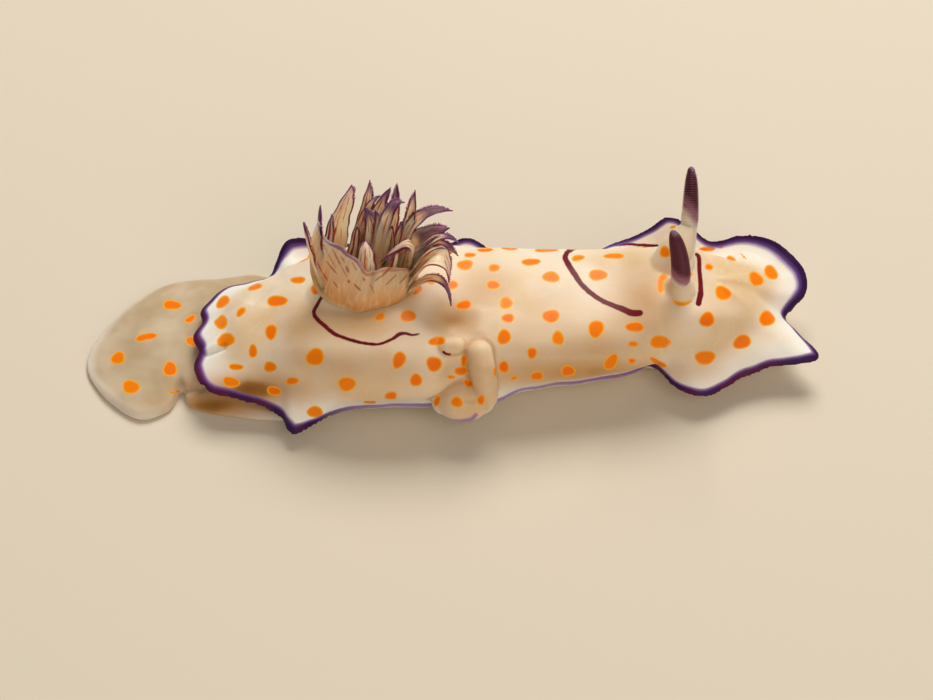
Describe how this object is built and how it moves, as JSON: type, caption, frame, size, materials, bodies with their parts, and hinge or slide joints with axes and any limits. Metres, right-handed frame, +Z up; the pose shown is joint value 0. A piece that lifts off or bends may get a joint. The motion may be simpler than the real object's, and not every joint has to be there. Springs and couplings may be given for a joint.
{
  "type": "sea slug",
  "caption": "Life-size still model of a crawling spotted sea slug with a frilled mantle edge, ringed feelers, a feathery gill tuft and a broad flat tail.",
  "frame": {"origin": "bottom centre of the animal's box, on the plane of the sole", "axes": "+X towards the head, +Y towards the animal's left side, +Z up"},
  "size_m": [0.0605, 0.0181, 0.0164],
  "materials": {
    "mantle": "moist, cream, translucent, with orange spots and a dark purple edge",
    "foot": "moist, greyish cream, translucent, with orange spots on the tail",
    "rhinophore": "moist, dark purple, white at the foot of the stem",
    "gill": "moist, thin and translucent, wine-coloured edges and purple tips"
  },
  "bodies": {
    "root": {"mantle_head": "mantle", "mantle_back": "mantle", "mantle_rear": "mantle", "foot": "foot", "tail": "foot", "head": "foot", "oral_tentacle_right": "foot", "oral_tentacle_left": "foot", "rhinophore_right": "rhinophore", "rhinophore_left": "rhinophore", "gill_rear": "gill", "gill_left": "gill", "gill_front": "gill", "gill_right": "gill"}
  },
  "joints": []
}
